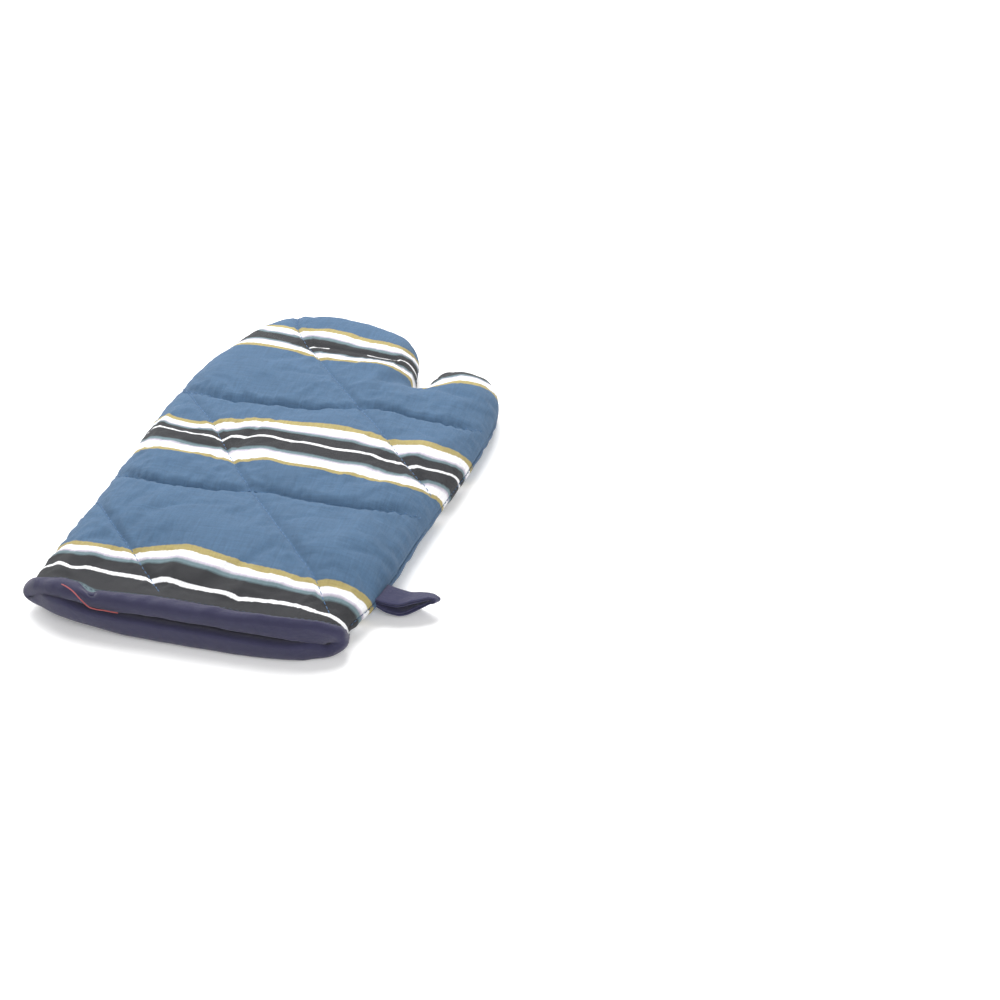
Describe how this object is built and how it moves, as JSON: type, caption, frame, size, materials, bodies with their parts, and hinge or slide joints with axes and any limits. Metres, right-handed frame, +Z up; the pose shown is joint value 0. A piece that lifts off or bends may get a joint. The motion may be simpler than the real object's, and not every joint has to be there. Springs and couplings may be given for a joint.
{
  "type": "oven mitt",
  "caption": "Quilted cotton oven mitt with a thumb, striped face cloth, wadding and lining, a bound open cuff and a hanging loop that swings at the side seam.",
  "frame": {"origin": "centre of the plan box, on the surface that the mitt lies on", "axes": "+Y from the cuff to the fingers, +X towards the thumb, +Z up out of the front panel"},
  "size_m": [0.2108, 0.3109, 0.0329],
  "materials": {
    "face_cloth": "woven cotton with stripe groups of mustard, white, lilac, grey-teal and charcoal",
    "wadding": "soft white wadding",
    "lining": "dark plain cotton",
    "navy_binding": "plain woven navy cotton tape",
    "quilting_thread": "light blue polyester thread",
    "seam_thread": "blue-grey sewing thread",
    "red_thread": "faded red sewing thread"
  },
  "bodies": {
    "mitt": {"outer_front": "face_cloth", "wadding_front": "wadding", "lining_front": "lining", "outer_back": "face_cloth", "wadding_back": "wadding", "lining_back": "lining", "cuff_binding": "navy_binding", "quilt_thread_diagonal_1": "quilting_thread", "quilt_thread_diagonal_2": "quilting_thread", "quilt_thread_diagonal_3": "quilting_thread", "quilt_thread_cross_1": "quilting_thread", "quilt_thread_cross_2": "quilting_thread", "side_seam_thread": "seam_thread", "binding_thread": "seam_thread", "loose_thread_tail": "red_thread"},
    "loop": {"hanging_loop": "navy_binding"}
  },
  "joints": [
    {"name": "loop_swing", "type": "hinge", "parent": "mitt", "child": "loop", "pos_m": [0.07947, -0.10203, 0.01], "axis": [-0.1889, -0.982, 0], "range_deg": [-60, 95]}
  ]
}
